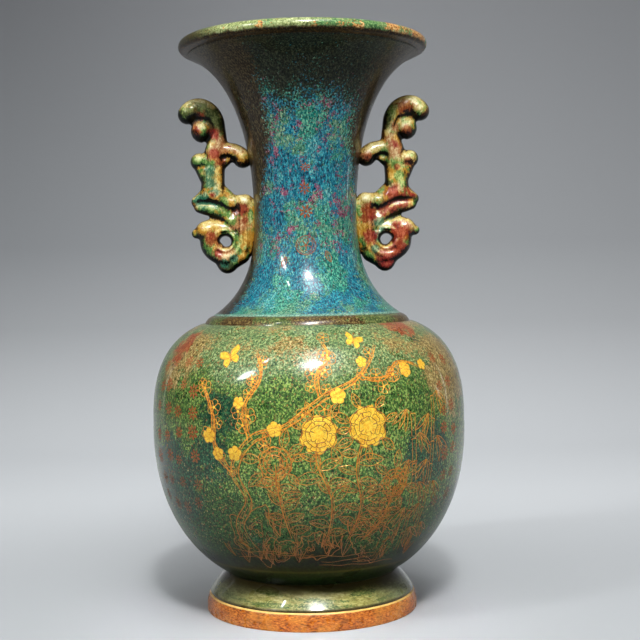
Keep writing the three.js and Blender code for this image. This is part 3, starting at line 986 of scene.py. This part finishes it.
def rough_ear(side):
    """The limbs of one ear as closed tubes in one mesh, in millimetres."""
    vertices, faces = [], []
    for rings, closed in [(limb(stations), False) for stations in EAR_LIMBS] + [(eye_ring(), True)]:
        start = sum(len(v) for v in vertices)
        vertices.append(rings.reshape(-1, 3))
        faces += net(len(rings), EAR_SIDES, closed, start)
        if not closed:
            faces.append(tuple(start + j for j in reversed(range(EAR_SIDES))))
            faces.append(tuple(start + (len(rings) - 1) * EAR_SIDES + j for j in range(EAR_SIDES)))
    points = np.concatenate(vertices) * EAR_SQUARE
    points[:, 0] = side * (points[:, 0] + WAIST_RADIUS)
    points[:, 2] += EAR_BOTTOM
    return points, faces


def rooted(points, neck):
    """What reaches too deep into the neck is brought back, so that only the glaze joint is covered."""
    reach = np.hypot(points[:, 0], points[:, 1])
    deepest = np.interp(points[:, 2], neck[:, 1], neck[:, 0]) - EAR_ROOT_DEPTH
    points[:, :2] *= (np.maximum(reach, deepest) / np.maximum(reach, 1e-6))[:, None]
    return points


def remeshed(mesh, name):
    """The same solid with an even net of small faces, and the neighbours in that net."""
    rough = bpy.data.objects.new(name, mesh)
    bpy.context.scene.collection.objects.link(rough)
    remesh = rough.modifiers.new("remesh", "REMESH")
    remesh.mode = "VOXEL"
    remesh.voxel_size = EAR_VOXEL * MM
    made = bpy.data.meshes.new_from_object(rough.evaluated_get(bpy.context.evaluated_depsgraph_get()))
    bpy.data.objects.remove(rough)
    made.name = name
    made.materials.clear()
    return made, neighbours(made)


def grown_together(node):
    """The limbs of an ear as one solid: swollen until they join, made anew and drawn back in."""
    rough = new_mesh(node + "_rough", *rough_ear(1 if node == "right_ear" else -1))
    mesh = rough.data.copy()
    bpy.data.objects.remove(rough)
    made, net_of = remeshed(mesh, node + "_first")
    write_points(made, relaxed(read_points(made), net_of, 6, SMOOTH_BUT_KEEP_SIZE))
    write_points(made, read_points(made) + read_normals(made) * EAR_SWELLING)
    made, net_of = remeshed(made, node + "_glazed")
    write_points(made, relaxed(read_points(made), net_of, 8))
    write_points(made, read_points(made) - read_normals(made) * EAR_SWELLING)
    return made, net_of


def ear(node, neck):
    """The CAD ear's limbs, finer and rounder, grown together under their glaze and given their relief."""
    made, net_of = grown_together(node)
    points = add_relief(read_points(made), read_normals(made))
    points = rooted(relaxed(points, net_of, 4, SMOOTH_BUT_KEEP_SIZE), neck)
    write_points(made, points)
    hollow = np.sum((relaxed(points, net_of, 45) - points) * read_normals(made), 1)
    store_field(made, "cavity", relaxed(np.repeat(hollow[:, None], 3, 1), net_of, 3)[:, 0])
    store_tones(made, node)
    piece = bpy.data.objects.new(made.name, made)
    bpy.context.scene.collection.objects.link(piece)
    made.shade_smooth()
    return piece


# Gilt painting: common garden flowers, laid out freely


def blossom(lines, fills, centre, size, angle, filled):
    """A five-petalled flower with a round heart and stamens."""
    shape = [(0.12, 0), (0.42, 0.36), (0.82, 0.4), (1.0, 0.1), (0.96, -0.14), (0.8, -0.4), (0.42, -0.34)]
    for k in range(5):
        turn = angle + k * 2 * math.pi / 5
        petal = placed(shape, centre, turn, size)
        if filled:
            fills.fill(smooth_line(np.concatenate([petal, petal[:1]]), 1.2)[:-1])
        lines.loop(petal, 0.6)
        lines.line(placed([(0.16, 0), (0.55, 0.02)], centre, turn + math.pi / 5, size), 0.45)
    fills.fill(placed(circle(8, 0.17), centre, 0, size), 0.16)


def bloom(lines, fills, ink, centre, size, angle, filled):
    """A full garden flower: three rings of lobed petals in fine lines, filled with gold or left open."""
    a = 2 * math.pi * np.arange(44) / 44
    reach = 0.98 + 0.1 * np.cos(8 * a + 0.7 * np.sin(2 * a)) + 0.04 * np.sin(17 * a + 1)
    outer = np.stack([reach * np.cos(a), 0.92 * reach * np.sin(a)], 1)
    if filled:
        fills.fill(placed(outer, centre, angle, size))
    pen = ink if filled else lines
    lines.loop(placed(outer[::2], centre, angle, size * 1.02), 0.8)
    for ring in range(3):
        near, far = 0.2 + 0.24 * ring, 0.44 + 0.24 * ring
        count = 5 + 2 * ring
        for k in range(count):
            turn = angle + (k + 0.5 * (ring % 2) + 0.14 * math.sin(5 * k + 3 * ring)) * 2 * math.pi / count
            wide = (0.9 + 0.12 * math.sin(7 * k + ring)) * math.pi / count * far
            petal = np.array([(near, -0.6), (far * 0.92, -1), (far, 0), (far * 0.92, 1), (near, 0.6)])
            pen.line(placed(petal * (1, wide), centre, turn, size), 0.85, height=0.2)
            for spread in (-0.4, 0, 0.4):
                fold = [(near + 0.04, wide * spread * 0.5), (far * 0.86, wide * spread)]
                pen.line(placed(fold, centre, turn, size), 0.4, height=0.19)


def leaf(lines, root, length, angle, fat=0.24, veins=4, bend=0.0):
    """A pointed leaf with a middle vein and side veins. A bend curls it to one side."""
    upper = [(0, 0), (0.25, fat * 0.8), (0.5, fat), (0.78, fat * 0.62), (1, 0)]
    lower = [(1, 0), (0.78, -fat * 0.55), (0.5, -fat), (0.25, -fat * 0.75), (0, 0)]

    def stroke(points, width):
        lines.line(placed([(x, y + bend * x * x) for x, y in points], root, angle, length), width)

    stroke(upper, 0.75)
    stroke(lower, 0.6)
    if veins:
        stroke([(0, 0), (0.5, 0.03), (0.92, 0)], 0.5)
    for k in range(veins):
        at = 0.16 + 0.58 * k / (veins - 1)
        for side in (-1, 1):
            stroke([(at, 0), (at + 0.12, side * fat * 0.7)], 0.35)


def bough(lines, points, start, end):
    """A woody branch: two uneven edges with bark strokes between them."""
    path = smooth_line(points, 2.2)
    t = np.linspace(0, 1, len(path))
    knots = 1 + 0.22 * np.sin(t * 19 + start) + 0.12 * np.sin(t * 43)
    reach = line_sides(path) * ((start + (end - start) * t) / 2 * knots)[:, None]
    lines.line(path + reach, 1.1)
    lines.line(path - reach, 1.1)
    for i in range(1, len(path) - 4, 2):
        lean = 0.6 * math.sin(i * 2.1)
        lines.line(path[i : i + 4] + reach[i : i + 4] * lean, 0.6)


def floret(gilding, centre, size, angle):
    """A small stylised flower: a ring of eight strokes round a heart."""
    for k in range(8):
        stroke = placed([(0.35, 0), (1, 0.12)], centre, angle + k * math.pi / 4, size)
        gilding.line(stroke, size * 0.42, step=1.0)
    gilding.fill(placed(circle(6, 0.24), centre, 0, size), 0.14)


def bamboo(lines, foot, top, width, seed):
    """A jointed cane with bunches of narrow leaves hanging from its joints."""
    rng = np.random.default_rng(seed)
    foot, top = np.array(foot, float), np.array(top, float)
    length = np.linalg.norm(top - foot)
    along = (top - foot) / length
    side = np.array([-along[1], along[0]])
    count = max(2, round(length / 16))
    for k in range(count):
        a, b = foot + along * length * (k + 0.04) / count, foot + along * length * (k + 0.96) / count
        for s in (-1, 1):
            middle = (a + b) / 2 + side * s * width * 0.4
            lines.line([a + side * s * width / 2, middle, b + side * s * width / 2], 0.6)
        lines.line([b - side * width * 0.7, b + along * 0.6, b + side * width * 0.7], 0.8)
        way = 1 if k % 2 else -1
        twig = b + side * way * 5 + along * 4
        lines.line([b, twig], 0.5)
        for turn in (0.15, 0.5, 0.9):
            lean = -math.pi / 2 - way * (turn + rng.uniform(-0.1, 0.1))
            leaf(lines, twig, rng.uniform(13, 18), lean, fat=0.1, veins=0)


def butterfly(lines, fills, centre, size, angle):
    upper = [(0, 0.05), (0.3, 0.7), (0.9, 0.95), (1.0, 0.45), (0.6, 0.1), (0.15, 0)]
    lower = [(0.05, -0.05), (0.6, 0.0), (0.75, -0.35), (0.5, -0.75), (0.2, -0.5)]
    for side in (-1, 1):
        for wing in (upper, lower):
            shape = placed([(x * side, y) for x, y in wing], centre, angle, size)
            fills.fill(shape)
            lines.loop(shape, 0.6)
            inner = [(x * side * 0.6 + 0.06 * side, y * 0.6) for x, y in wing]
            lines.loop(placed(inner, centre, angle, size), 0.45)
        lines.line(placed([(0.02 * side, 0.3), (0.2 * side, 0.8)], centre, angle, size), 0.4)
    lines.line(placed([(0, 0.35), (0, -0.5)], centre, angle, size), 1.0)


def crag(angle, seed):
    """How far the uneven edge of a rock reaches at an angle."""
    waves = ((3, 0.16, 1.3), (5, 0.11, 2.1), (8, 0.07, 4.7), (13, 0.045, 0.4), (21, 0.025, 3.1))
    return 1 + sum(size * math.sin(count * angle + start * seed) for count, size, start in waves)


def rock(lines, centre, size, seed, tall=1.0):
    """A garden rock: a craggy edge, broken folds that follow it, and a few hollows."""
    rng = np.random.default_rng(seed)

    def edge(start, end, reach, shift=(0, 0)):
        angles = np.linspace(start, end, max(4, int((end - start) * 9)))
        reaches = [crag(a, seed) * reach for a in angles]
        points = [(math.cos(a) * far, math.sin(a) * far * tall) for a, far in zip(angles, reaches)]
        return placed(points, centre + np.array(shift) * size, 0, size)

    lines.loop(edge(0, 2 * math.pi, 1)[:-1], 0.8)
    for _ in range(int(size * 1.5)):
        start = rng.uniform(0, 2 * math.pi)
        reach = rng.uniform(0.25, 0.93)
        shift = rng.uniform(-0.1, 0.1, 2) * (1 - reach)
        lines.line(edge(start, start + rng.uniform(0.3, 1.1), reach, shift), rng.uniform(0.35, 0.6))
    for _ in range(4):
        at = centre + rng.uniform(-0.5, 0.5, 2) * size
        hole = circle(7) * [(rng.uniform(0.6, 1), 1) for _ in range(7)]
        lines.loop(placed(hole, at, 0, size * rng.uniform(0.06, 0.12)), 0.6)


def along_path(points, share):
    path = smooth_line(points, 1.0)
    return path[int(share * (len(path) - 1))]


def spray(lines, fills, ink, stem, size, angle, filled, rng):
    """A leafy stem with a full flower at its end."""
    lines.line(stem, 1.2)
    lines.line(np.array(stem, float) + [1.5, 0.4], 0.6)
    for k, share in enumerate(np.arange(0.1, 0.86, 0.075)):
        way = 1 if k % 2 else -1
        lean = math.pi / 2 + way * rng.uniform(0.5, 1.5)
        length = rng.uniform(11, 19)
        leaf(lines, along_path(stem, share), length, lean, 0.23, 5, way * rng.uniform(0.05, 0.3))
    centre = np.array(stem[-1], float)
    for k in range(7):
        turn = angle + k * 2 * math.pi / 7
        root = centre + np.array([math.cos(turn), math.sin(turn)]) * size * 0.96
        leaf(lines, root, rng.uniform(9, 14), turn + rng.uniform(-0.3, 0.3))
    bloom(lines, fills, ink, centre, size, angle, filled)


def front_painting(lines, fills, ink):
    """A flowering plum over garden rocks, full blooms, bamboo and butterflies."""
    rng = np.random.default_rng(11)
    trunk = [
        (-46, -78), (-52, -58), (-42, -40), (-50, -20), (-38, 0), (-14, 10), (8, 26), (34, 40), (52, 62),
    ]
    boughs = [
        ([(-50, -22), (-64, -4), (-66, 16), (-76, 34)], 3.4, 1.2),
        ([(-38, 0), (-42, 22), (-32, 42), (-38, 58)], 3.0, 1.0),
        ([(8, 26), (6, 42), (14, 54), (10, 66)], 2.6, 1.0),
        ([(34, 40), (52, 38), (66, 48), (84, 44)], 2.4, 0.9),
    ]
    bough(lines, trunk, 6.5, 1.6)
    for points, start, end in boughs:
        bough(lines, points, start, end)
    for points in [trunk[3:]] + [b[0] for b in boughs]:
        for share in np.arange(0.1, 1.0, 0.11):
            at = along_path(points, share) + rng.uniform(-6, 6, 2)
            blossom(lines, fills, at, rng.uniform(3.6, 5.6), rng.uniform(0, 6), rng.uniform() < 0.22)
    sprays = [
        ([(-14, -66), (-20, -40), (-22, -14)], 11, 0.2, False),
        ([(10, -70), (14, -40), (4, -10), (6, 4)], 12, 1.0, True),
        ([(26, -70), (34, -44), (30, -18), (38, 8)], 13, 2.0, True),
        ([(38, -70), (52, -52), (58, -30)], 10, 0.6, False),
    ]
    for stem, size, angle, filled in sprays:
        spray(lines, fills, ink, stem, size, angle, filled, rng)
    bamboo(lines, (76, -84), (72, 14), 3.8, 30)
    bamboo(lines, (86, -80), (92, 24), 3.2, 31)
    for across, up, size, seed, tall in [
        (-42, -66, 17, 4, 1.25),
        (-24, -76, 12, 5, 0.8),
        (4, -74, 14, 7, 0.8),
        (48, -74, 15, 9, 1.05),
    ]:
        rock(lines, np.array([across, up]), size, seed, tall)
    butterfly(lines, fills, (-58, 54), 8, 0.5)
    butterfly(lines, fills, (36, 66), 7, -0.5)
    for _ in range(26):
        root = (rng.uniform(-70, 96), rng.uniform(-92, -64))
        for _ in range(4):
            lean = rng.uniform(0.9, 2.2)
            blade = [(0, 0), (0.5, 0.06), (1, 0.22 * math.cos(lean))]
            lines.line(placed(blade, root, lean, rng.uniform(7, 15)), 0.65)
    for k in range(9):
        up = -93 + 1.8 * k + rng.uniform(-0.5, 0.5)
        left = rng.uniform(-70, 40)
        ripple = [(left + 9 * i, up + math.sin(i * 1.7 + k) * 0.9) for i in range(rng.integers(4, 8))]
        lines.line(ripple, 0.6)


def back_painting(lines, fills, ink):
    """The far side: full blooms on leafy stems over a rock, and two butterflies."""
    middle = math.pi * BELLY_RADIUS
    rng = np.random.default_rng(23)
    for stem, size in [
        ([(-6, -74), (-22, -40), (-36, -6), (-32, 26)], 14),
        ([(0, -74), (6, -40), (0, 4), (10, 44)], 13),
        ([(6, -74), (30, -44), (40, -16), (56, 6)], 13),
    ]:
        spray(lines, fills, ink, [(x + middle, y) for x, y in stem], size, rng.uniform(0, 3), True, rng)
    rock(lines, np.array([middle, -76.0]), 18, 14)
    butterfly(lines, fills, (middle - 60, 50), 8, 0.4)
    butterfly(lines, fills, (middle + 58, 52), 8, -0.4)


def side_florets(gilding):
    """Loose columns of small flowers between the two paintings."""
    rng = np.random.default_rng(5)
    for side, first, columns in ((-1, 84, 4), (1, 104, 2)):
        for column in range(columns):
            for row in range(7):
                across = side * (first + column * 14.5 + rng.uniform(-2.5, 2.5))
                up = -46 + row * 15.5 + rng.uniform(-3, 3)
                floret(gilding, (across, up), rng.uniform(3.6, 5.2), rng.uniform(0, 1))


def neck_ornaments(gilding):
    """A ring with a rosette and a few small flowers on the front and the back of the neck."""
    for middle in (0.0, math.pi * WAIST_RADIUS):
        centre = (middle, -21)
        gilding.loop(placed(circle(16, 6.6), centre, 0), 0.7)
        gilding.loop(placed(circle(16, 6.6), centre, 0, 0.84), 0.4)
        blossom(gilding, gilding, centre, 4.6, 0.3, False)
        for up, size in ((2, 4.6), (18, 4.0), (32, 3.2)):
            floret(gilding, (middle + 0.5 * math.sin(up), up), size, up)
        leaf(gilding, (middle + 16, -33), 9, 1.9, fat=0.2)
        leaf(gilding, (middle - 15, -36), 8, 1.3, fat=0.2)


# Building


materials = {
    paint.__name__: paint()
    for paint in (bare_foot, olive_glaze, green_glaze, blue_glaze, brown_glaze, lip_glaze, ear_glaze)
}


def dress(piece, slot, node=None, finish=None):
    """A piece gets the material of its slot, or the given finish, and rides on the vase in place of its CAD
    node.
    """
    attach(piece, "root")
    if node:
        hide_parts(node)
    piece.data.materials.append(finish or materials[slot])


def build_turned():
    """Every turned piece, from the foot up. Returns the outer line of each."""
    outlines = {node: section(node) for node, _, _ in TURNED}
    done = []
    for node, (points, _) in outlines.items():
        for i in range(len(points)):
            for other in done:
                place, far = nearest_on(points[i], *outlines[other])
                if far < JOINT_GAP:
                    points[i] = place
        done.append(node)
    outsides = {}
    for node, slot, rounding in TURNED:
        points, closed = outlines[node]
        others = [outline for other, outline in outlines.items() if other != node]
        seated = [any(nearest_on(p, *other)[1] < JOINT_GAP for other in others) for p in points]
        line, runs = smooth_outline(points, closed, np.array(seated), rounding)
        outsides[node] = outer_run(runs)
        dress(turned(node + "_turned", line, closed), slot, node)
    return outsides


def outer_run(runs):
    """The widest of the long runs of an outline, from the foot up."""
    long = [run for run in runs if distances(run)[-1] > LONG_RUN] or runs
    best = max(long, key=lambda run: run[:, 0].mean())
    return best if best[0, 1] < best[-1, 1] else best[::-1]


def gild(body, neck):
    """The gilt painting on the body and the ornaments on the neck, each finish in its own mesh."""
    names = ("gilt_lines", "gilt_petals", "gilt_petal_lines", "gilt_florets")
    lines, petals, petal_lines, florets = (Gilding(name, body) for name in names)
    ornaments = Gilding("neck_gilding", neck)
    front_painting(lines, petals, petal_lines)
    back_painting(lines, petals, petal_lines)
    side_florets(florets)
    neck_ornaments(ornaments)
    gold_line = gilt("gilt_line", (240, 166, 50), (186, 100, 24), (116, 62, 14), 0.6, 1.0)
    gold_fill = gilt("gilt_fill", (255, 218, 78), (244, 184, 44), (170, 136, 46), 0.66, 2.0)
    ink = gilt("gilt_ink", (128, 66, 18), (96, 46, 12), (76, 44, 14), 0.7, 4.0)
    rust = gilt("gilt_rust", (176, 92, 42), (144, 62, 28), (82, 60, 30), 0.62, 3.0)
    dress(lines.piece(), "green_glaze", finish=gold_line)
    dress(petals.piece(), "green_glaze", finish=gold_fill)
    dress(petal_lines.piece(), "green_glaze", finish=ink)
    dress(florets.piece(), "green_glaze", finish=rust)
    dress(ornaments.piece(), "blue_glaze", finish=rust)


outsides = build_turned()
for node in ("right_ear", "left_ear"):
    dress(ear(node, outsides["neck"]), "ear_glaze", node)
body_line = np.concatenate([outsides["lower_body"], outsides["upper_body"][1:]])
gild(
    Surface(body_line, BELLY_RADIUS, BELLY_HEIGHT),
    Surface(outsides["neck"], WAIST_RADIUS, WAIST_HEIGHT),
)


# Studio


def studio_floor():
    """A pale floor, just under the foot, that curves up into a backdrop behind the vase."""
    width, front, back, bend, top = 5.0, -2.2, 1.5, 0.7, 3.2
    clearance = 0.02
    side = [(front, 0.0), (back - bend, 0.0)]
    for k in range(1, 13):
        a = k / 12 * math.pi / 2
        side.append((back - bend + bend * math.sin(a), bend - bend * math.cos(a)))
    side.append((back, top))
    vertices = [(x / MM, y / MM, z / MM - clearance) for y, z in side for x in (-width / 2, width / 2)]
    faces = [(2 * i, 2 * i + 1, 2 * i + 3, 2 * i + 2) for i in range(len(side) - 1)]
    floor = new_mesh("studio_floor", vertices, faces)
    floor.data.shade_smooth()
    paint = Paint("studio_paper")
    rising = (0.0, (204, 208, 211)), (0.16, (161, 164, 167)), (0.3, (137, 140, 143)), (1.0, (102, 103, 106))
    colour = paint.ramp(paint.height(), *rising)
    colour = paint.mix(paint.steps(paint.forward(), -0.5, 0.0), colour, (172, 176, 179))
    colour = paint.mix(paint.steps(paint.forward(), 0.18, 0.5), colour, (104, 106, 109))
    colour = paint.mix(paint.steps(paint.across(), -0.7, 0.9, 0, 0.16), colour, (230, 232, 235))
    paint.finish(colour, 0.9)
    floor.data.materials.append(paint.material)


def lamp(
    name, azimuth, elevation, distance, size, power,
    tall=None, target=(0, 0, 0.2), roll=0, mirrored=True, spread=180,
):
    """A soft rectangular lamp that fades towards its edges. Azimuth 0 is in front, 90 to the right."""
    light = bpy.data.lights.new(name, "AREA")
    light.shape = "RECTANGLE"
    light.size = size
    light.size_y = tall or size
    light.energy = power
    light.spread = math.radians(spread)
    light.use_nodes = True
    tree = light.node_tree
    place = add_node(tree, "NewGeometry", {})["Parametric"]
    off_middle = add_node(tree, "VectorMath", {0: place, 1: (0.5, 0.5, 0)}, operation="DISTANCE")["Value"]
    fade = {"Value": off_middle, "From Min": 0.5, "From Max": 0.1, "To Max": 3.0}
    strength = add_node(tree, "MapRange", fade, interpolation_type="SMOOTHSTEP")["Result"]
    emission = next(n for n in tree.nodes if n.type == "EMISSION")
    set_input(tree, emission.inputs["Strength"], strength)
    a, e = math.radians(azimuth), math.radians(elevation)
    away = Vector((math.sin(a) * math.cos(e), -math.cos(a) * math.cos(e), math.sin(e)))
    lamp_object = bpy.data.objects.new(name, light)
    lamp_object.location = Vector(target) + away * distance
    lamp_object.rotation_mode = "QUATERNION"
    spin = Matrix.Rotation(math.radians(roll), 3, "Z").to_quaternion()
    lamp_object.rotation_quaternion = away.to_track_quat("Z", "Y") @ spin
    lamp_object.visible_glossy = mirrored
    bpy.context.scene.collection.objects.link(lamp_object)


def camera():
    """The photograph's viewpoint: a little above the middle, tilted down and turned slightly."""
    distance, height, pitch, roll = 0.8999, 0.2303, math.radians(1.725), math.radians(-1.0)
    focal_pixels, image_size, off_centre = 1266.7, 640, 12.7
    data = bpy.data.cameras.new("camera")
    data.sensor_width = 36
    data.lens = focal_pixels / image_size * data.sensor_width
    made = bpy.data.objects.new("camera", data)
    turn = Matrix.Rotation(-math.atan(off_centre / focal_pixels), 4, "Z")
    turn = turn @ Matrix.Rotation(math.pi / 2 - pitch, 4, "X") @ Matrix.Rotation(roll, 4, "Z")
    made.matrix_world = Matrix.Translation((0, -distance, height)) @ turn
    bpy.context.scene.collection.objects.link(made)
    bpy.context.scene.camera = made


studio_floor()
foot = {"target": (0, -0.07, 0.02), "spread": 9}
lamp("key", 3, 46, 1.7, 0.2, 12)
lamp("key_glow", 3, 47, 1.7, 0.56, 8)
lamp("high_glint", 1, 92, 1.6, 0.12, 1.2)
lamp("fill", 40, 22, 1.8, 0.9, 2.6, mirrored=False)
lamp("left_window", -50, 31, 1.6, 0.2, 8, 0.55, roll=-40)
lamp("overhead", 16, 60, 1.5, 0.9, 6.5)
lamp("foot_light", 11, 53, 1.5, 0.3, 0.09, **foot)
lamp("foot_streak", -46, 54, 1.5, 0.07, 0.02, 0.9, **foot)
lamp("ceiling", 10, 70, 1.8, 1.6, 11, mirrored=False)
lamp("left_strip", -128, 6, 1.3, 0.03, 0.08, 1.1)
lamp("right_window", 106, 3, 1.5, 0.1, 0.12, 0.2)
lamp("right_strip", 116, 6, 1.3, 0.03, 0.18, 1.1)
lamp("floor_glow", 180, 80, 1.1, 1.2, 5, target=(0, 0.7, 0), mirrored=False)
camera()

world = bpy.data.worlds.new("studio_room")
world.use_nodes = True
world.node_tree.nodes["Background"].inputs["Color"].default_value = (0.55, 0.57, 0.6, 1)
world.node_tree.nodes["Background"].inputs["Strength"].default_value = 0.12
bpy.context.scene.world = world
bpy.context.scene.view_settings.view_transform = "Standard"
